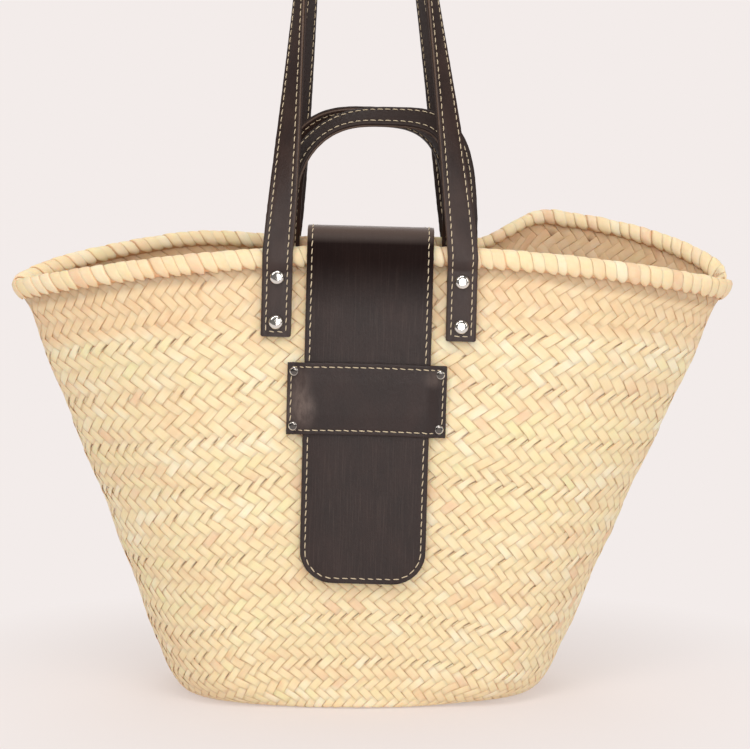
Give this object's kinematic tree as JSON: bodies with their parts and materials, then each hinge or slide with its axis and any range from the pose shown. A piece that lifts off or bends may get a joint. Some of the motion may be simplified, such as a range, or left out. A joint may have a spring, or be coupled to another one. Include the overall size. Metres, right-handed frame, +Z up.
{
  "type": "straw basket",
  "caption": "Plaited palm-leaf tote basket with a wrapped rim, long and short riveted leather handles and a leather flap that tucks behind a keeper.",
  "frame": {"origin": "centre of the flat underside of the base", "axes": "+Z up, -Y towards the front with the flap, +X to the right as seen from the front"},
  "size_m": [0.5238, 0.1728, 0.6258],
  "materials": {
    "palm": "plaited dried palm leaf, matt to satin",
    "palm_rim": "wrapped dried palm leaf, satin",
    "leather": "charcoal full-grain leather, soft sheen",
    "leather_lining": "charcoal leather, matt flesh side",
    "nickel": "polished nickel-plated steel",
    "thread": "waxed cream thread"
  },
  "bodies": {
    "basket": {"basket_body": "palm", "rim_binding": "palm_rim", "front_long_handle_left_end_lining": "leather_lining", "front_long_handle_left_end_facing": "leather", "front_long_handle_right_end_lining": "leather_lining", "front_long_handle_right_end_facing": "leather", "front_short_handle_left_end_lining": "leather_lining", "front_short_handle_left_end_facing": "leather", "front_short_handle_right_end_lining": "leather_lining", "front_short_handle_right_end_facing": "leather", "front_left_upper_rivet": "nickel", "front_left_lower_rivet": "nickel", "front_right_upper_rivet": "nickel", "front_right_lower_rivet": "nickel", "rear_long_handle_left_end_lining": "leather_lining", "rear_long_handle_left_end_facing": "leather", "rear_long_handle_right_end_lining": "leather_lining", "rear_long_handle_right_end_facing": "leather", "rear_short_handle_left_end_lining": "leather_lining", "rear_short_handle_left_end_facing": "leather", "rear_short_handle_right_end_lining": "leather_lining", "rear_short_handle_right_end_facing": "leather", "rear_left_upper_rivet": "nickel", "rear_left_lower_rivet": "nickel", "rear_right_upper_rivet": "nickel", "rear_right_lower_rivet": "nickel", "keeper": "leather", "keeper_upper_left_rivet": "nickel", "keeper_upper_right_rivet": "nickel", "keeper_lower_left_rivet": "nickel", "keeper_lower_right_rivet": "nickel", "flap_tail_lining": "leather_lining", "flap_tail_facing": "leather", "flap_bow_lining": "leather_lining", "flap_bow_facing": "leather", "flap_tail_left_rivet": "nickel", "flap_tail_middle_rivet": "nickel", "flap_tail_right_rivet": "nickel"},
    "front_long_handle_loop": {"front_long_handle_loop_lining": "leather_lining", "front_long_handle_loop_facing": "leather"},
    "front_short_handle_loop": {"front_short_handle_loop_lining": "leather_lining", "front_short_handle_loop_facing": "leather"},
    "rear_long_handle_loop": {"rear_long_handle_loop_lining": "leather_lining", "rear_long_handle_loop_facing": "leather"},
    "rear_short_handle_loop": {"rear_short_handle_loop_lining": "leather_lining", "rear_short_handle_loop_facing": "leather"},
    "flap_tongue": {"flap_tongue_lining": "leather_lining", "flap_tongue_facing": "leather"}
  },
  "joints": [
    {"name": "front_long_handle_swing", "type": "hinge", "parent": "basket", "child": "front_long_handle_loop", "pos_m": [0.00881, -0.0817, 0.31839], "axis": [0.9997, -0.0024, -0.0261], "range_deg": [0, 165]},
    {"name": "rear_long_handle_swing", "type": "hinge", "parent": "basket", "child": "rear_long_handle_loop", "pos_m": [0.00881, 0.07159, 0.32178], "axis": [-0.9997, -0.0037, 0.0259], "range_deg": [0, 165]},
    {"name": "front_short_handle_swing", "type": "hinge", "parent": "basket", "child": "front_short_handle_loop", "pos_m": [0.00881, -0.06716, 0.31703], "axis": [0.9997, -0.0024, -0.0261], "range_deg": [0, 12]},
    {"name": "rear_short_handle_swing", "type": "hinge", "parent": "basket", "child": "rear_short_handle_loop", "pos_m": [0.00881, 0.05713, 0.3197], "axis": [-0.9997, -0.0037, 0.0259], "range_deg": [0, 10]},
    {"name": "flap_slide", "type": "slide", "parent": "basket", "child": "flap_tongue", "axis": [0.0262, 0.0176, 0.9995], "range_m": [0, 0.158], "deforming": ["flap_bow_lining", "flap_bow_facing"]}
  ]
}
